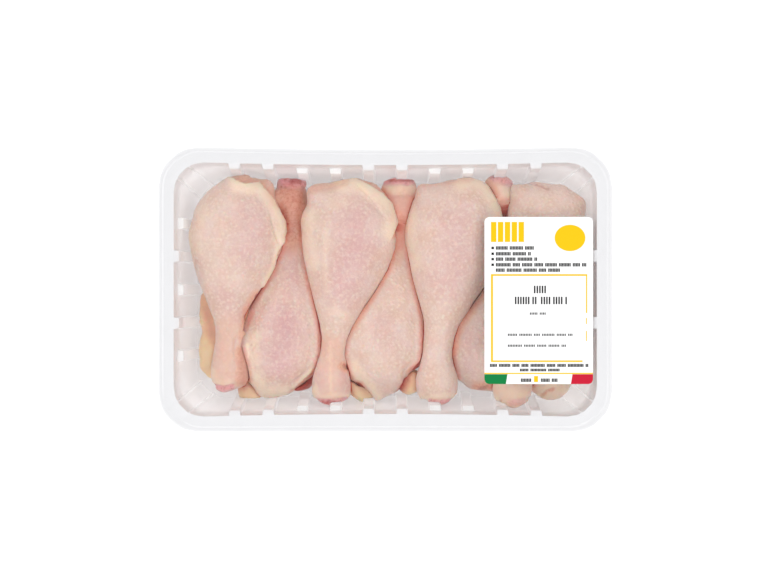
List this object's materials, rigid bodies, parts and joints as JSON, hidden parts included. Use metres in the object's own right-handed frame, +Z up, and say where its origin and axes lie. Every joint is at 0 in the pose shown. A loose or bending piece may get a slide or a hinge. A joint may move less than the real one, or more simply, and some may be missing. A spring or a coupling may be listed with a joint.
{
  "type": "tray pack of raw chicken drumsticks",
  "caption": "Sealed ribbed plastic tray of raw skin-on chicken drumsticks laid head to tail, under a clear welded film with a plain rectangular label.",
  "frame": {"origin": "on the surface the tray stands on, under the middle of the tray", "axes": "+X along the tray's long side towards the label, +Y across the tray, +Z up"},
  "size_m": [0.29, 0.182, 0.0661],
  "materials": {
    "tray_plastic": "milky translucent thermoformed plastic, smooth and softly glossy",
    "chicken_skin": "moist raw chicken skin, pale peach to pink, finely pimpled, softly glossy",
    "chicken_fat": "moist loose skin and yellow fat, softly glossy",
    "clear_film": "clear taut lidding film, very glossy",
    "label_paper": "coated white label paper with plain fields of colour, satin"
  },
  "bodies": {
    "root": {"tray": "tray_plastic", "drumstick_1": "chicken_skin", "drumstick_2": "chicken_skin", "drumstick_3": "chicken_skin", "drumstick_4": "chicken_skin", "drumstick_5": "chicken_skin", "drumstick_6": "chicken_skin", "drumstick_7": "chicken_skin", "drumstick_8": "chicken_skin", "tucked_skin_1": "chicken_fat", "tucked_skin_2": "chicken_fat", "tucked_skin_3": "chicken_fat", "tucked_skin_4": "chicken_fat", "tucked_skin_5": "chicken_fat", "tucked_skin_6": "chicken_fat", "film": "clear_film", "label": "label_paper"}
  },
  "joints": []
}
